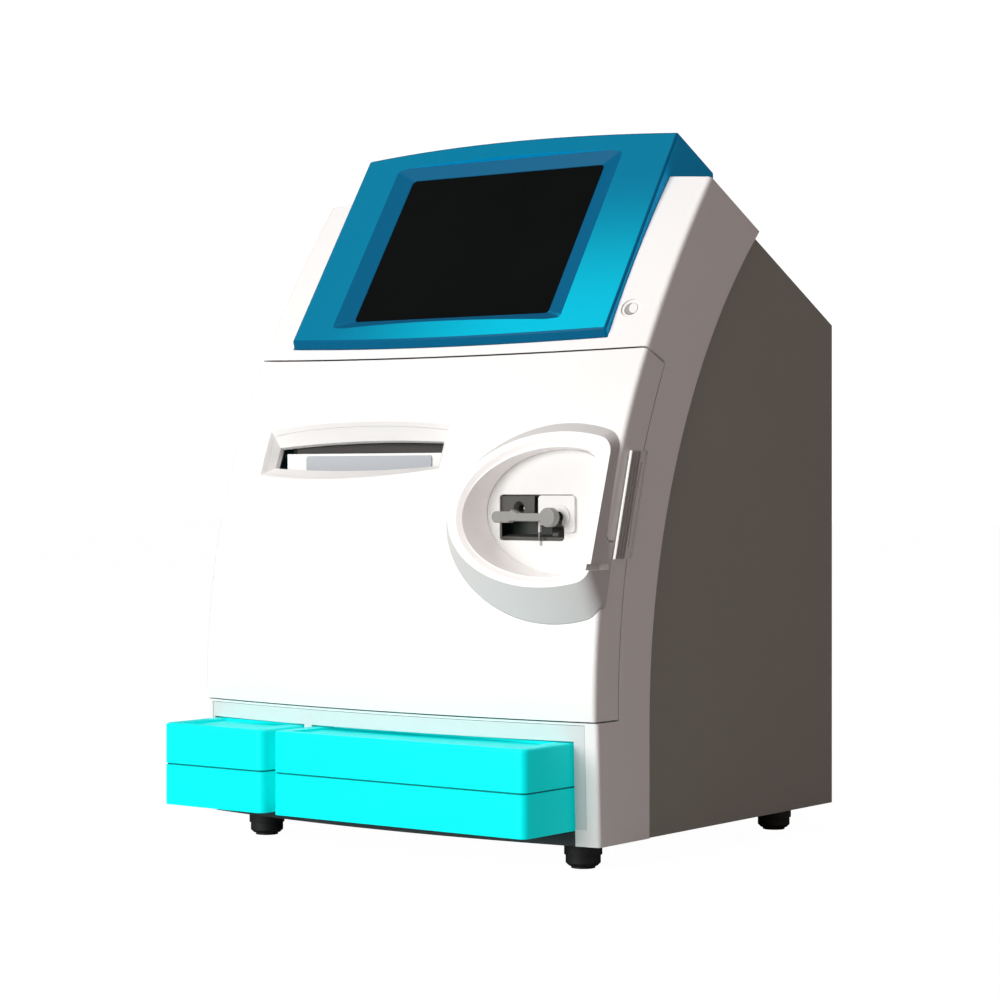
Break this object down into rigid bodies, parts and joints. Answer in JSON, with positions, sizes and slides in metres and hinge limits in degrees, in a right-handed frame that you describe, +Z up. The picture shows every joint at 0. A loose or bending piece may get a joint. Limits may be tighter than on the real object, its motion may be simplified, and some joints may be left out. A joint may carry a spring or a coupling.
{
  "type": "blood gas analyzer",
  "caption": "Bench-top blood gas analyzer with a bowed, leaning front door, raised touch screen, D-shaped sampler recess, printer slot and pull-out liquid packs.",
  "frame": {"origin": "on the floor under the centre of the whole object's box", "axes": "+Z up, the front looks along -Y, +X to the right as seen from the front"},
  "size_m": [0.3444, 0.36, 0.4994],
  "materials": {
    "white_plastic": "satin, fine texture",
    "fascia_white": "satin",
    "grey_casing": "fine texture",
    "grey_panel": "fine texture",
    "zinc_sheet": "zinc-plated sheet",
    "black_rubber": "matt",
    "screw_steel": "plated",
    "blue_gloss": "gloss",
    "screen_black": "polished, dark when off",
    "display_metal": "satin",
    "button_white": "satin",
    "black_plastic": "matt",
    "grip_grey": "satin",
    "hinge_steel": "brushed",
    "dark_plastic": "matt",
    "cyan_plastic": "satin",
    "white_fitting": "satin",
    "pump_grey": "satin",
    "roller_white": "satin",
    "motor_steel": "cast",
    "chamber_block": "anodised",
    "sensor_caps": "satin",
    "clear_cover": "clear",
    "panel_white": "satin",
    "port_black": "matt",
    "lever_grey": "satin",
    "probe_steel": "polished",
    "paper_white": "paper",
    "tear_white": "satin",
    "pad_slate": "matt",
    "head_dark": "matt",
    "shaft_dark": "satin",
    "board_green": "solder mask",
    "fan_black": "matt",
    "guard_chrome": "plated wire",
    "rocker_black": "satin",
    "port_metal": "plated"
  },
  "bodies": {
    "chassis": {"base_plate": "zinc_sheet", "bay_fascia": "fascia_white", "casing_screws": "screw_steel", "catch_magnet": "black_plastic", "chamber_cover": "clear_cover", "chamber_sensors": "sensor_caps", "data_ports": "port_metal", "display_bracket": "zinc_sheet", "display_module": "display_metal", "fan_frame": "black_plastic", "fan_guard": "guard_chrome", "fixed_hinge_leaves": "hinge_steel", "front_housing": "white_plastic", "hinge_pins": "screw_steel", "inner_frame": "zinc_sheet", "main_board": "board_green", "measuring_chamber": "chamber_block", "needle_manifold": "dark_plastic", "pack_bay": "dark_plastic", "paper_rest": "pad_slate", "port_block": "port_black", "power_inlet": "black_plastic", "power_supply": "zinc_sheet", "print_head": "head_dark", "printer_frame": "zinc_sheet", "pump_housings": "pump_grey", "pump_motors": "motor_steel", "rear_casing": "grey_casing", "rear_panel": "grey_panel", "rubber_feet": "black_rubber", "sample_probe": "probe_steel", "sampler_panel": "panel_white", "sampler_plate": "panel_white", "screen_bezel": "blue_gloss", "standby_switch": "black_plastic", "switch_frame": "black_plastic", "tear_plate": "tear_white", "touch_glass": "screen_black"},
    "front_door": {"door_shell": "white_plastic", "sampler_surround": "white_plastic", "printer_surround": "white_plastic", "door_grip": "grip_grey", "door_hinge_leaves": "hinge_steel", "catch_plate": "hinge_steel"},
    "sampling_lever": {"sampling_lever": "lever_grey", "lever_shaft": "shaft_dark"},
    "reagent_pack": {"reagent_pack_base": "cyan_plastic", "reagent_pack_cover": "cyan_plastic", "reagent_pack_couplings": "white_fitting"},
    "waste_pack": {"waste_pack_base": "cyan_plastic", "waste_pack_cover": "cyan_plastic", "waste_pack_couplings": "white_fitting"},
    "standby_button": {"standby_button": "button_white"},
    "power_rocker": {"power_rocker": "rocker_black"},
    "fan_rotor": {"fan_rotor": "fan_black"},
    "pump_rotor_left": {"pump_rotor_left": "roller_white"},
    "pump_rotor_right": {"pump_rotor_right": "roller_white"},
    "printer_platen": {"printer_platen": "black_rubber"},
    "paper_roll": {"paper_roll": "paper_white", "paper_spindle": "black_plastic"}
  },
  "joints": [
    {"name": "door_hinge", "type": "hinge", "parent": "chassis", "child": "front_door", "pos_m": [-0.1693, -0.10176, 0.14], "axis": [0, -0.2356, -0.9718], "range_deg": [0, 105]},
    {"name": "sampling_lever_hinge", "type": "hinge", "parent": "chassis", "child": "sampling_lever", "pos_m": [0.123, -0.09781, 0.23], "axis": [0, 1, 0], "range_deg": [0, 60]},
    {"name": "reagent_pack_slide", "type": "slide", "parent": "chassis", "child": "reagent_pack", "axis": [0, -1, 0], "range_m": [0, 0.18]},
    {"name": "waste_pack_slide", "type": "slide", "parent": "chassis", "child": "waste_pack", "axis": [0, -1, 0], "range_m": [0, 0.18]},
    {"name": "standby_button_slide", "type": "slide", "parent": "chassis", "child": "standby_button", "axis": [-0.1356, 0.8522, -0.5053], "range_m": [0, 0.0012], "stiffness_N_per_m": 400, "springref_m": -0.0005},
    {"name": "power_rocker_hinge", "type": "hinge", "parent": "chassis", "child": "power_rocker", "pos_m": [-0.112, 0.169, 0.138], "axis": [1, 0, 0], "range_deg": [-8, 8]},
    {"name": "fan_spin", "type": "hinge", "parent": "chassis", "child": "fan_rotor", "pos_m": [0.078, 0.1744, 0.262], "axis": [0, 1, 0], "continuous": true},
    {"name": "pump_spin_left", "type": "hinge", "parent": "chassis", "child": "pump_rotor_left", "pos_m": [-0.112, -0.05747, 0.129], "axis": [0, 1, 0], "continuous": true},
    {"name": "pump_spin_right", "type": "hinge", "parent": "chassis", "child": "pump_rotor_right", "pos_m": [-0.042, -0.05747, 0.129], "axis": [0, 1, 0], "continuous": true},
    {"name": "paper_roll_spin", "type": "hinge", "parent": "chassis", "child": "paper_roll", "pos_m": [-0.051, -0.06047, 0.2461], "axis": [-1, 0, 0], "continuous": true},
    {"name": "platen_spin", "type": "hinge", "parent": "chassis", "child": "printer_platen", "pos_m": [-0.051, -0.08187, 0.2863], "axis": [-1, 0, 0], "continuous": true}
  ],
  "couplings": [
    {"joint": "platen_spin", "follows": "paper_roll_spin", "ratio": 3.8462}
  ]
}
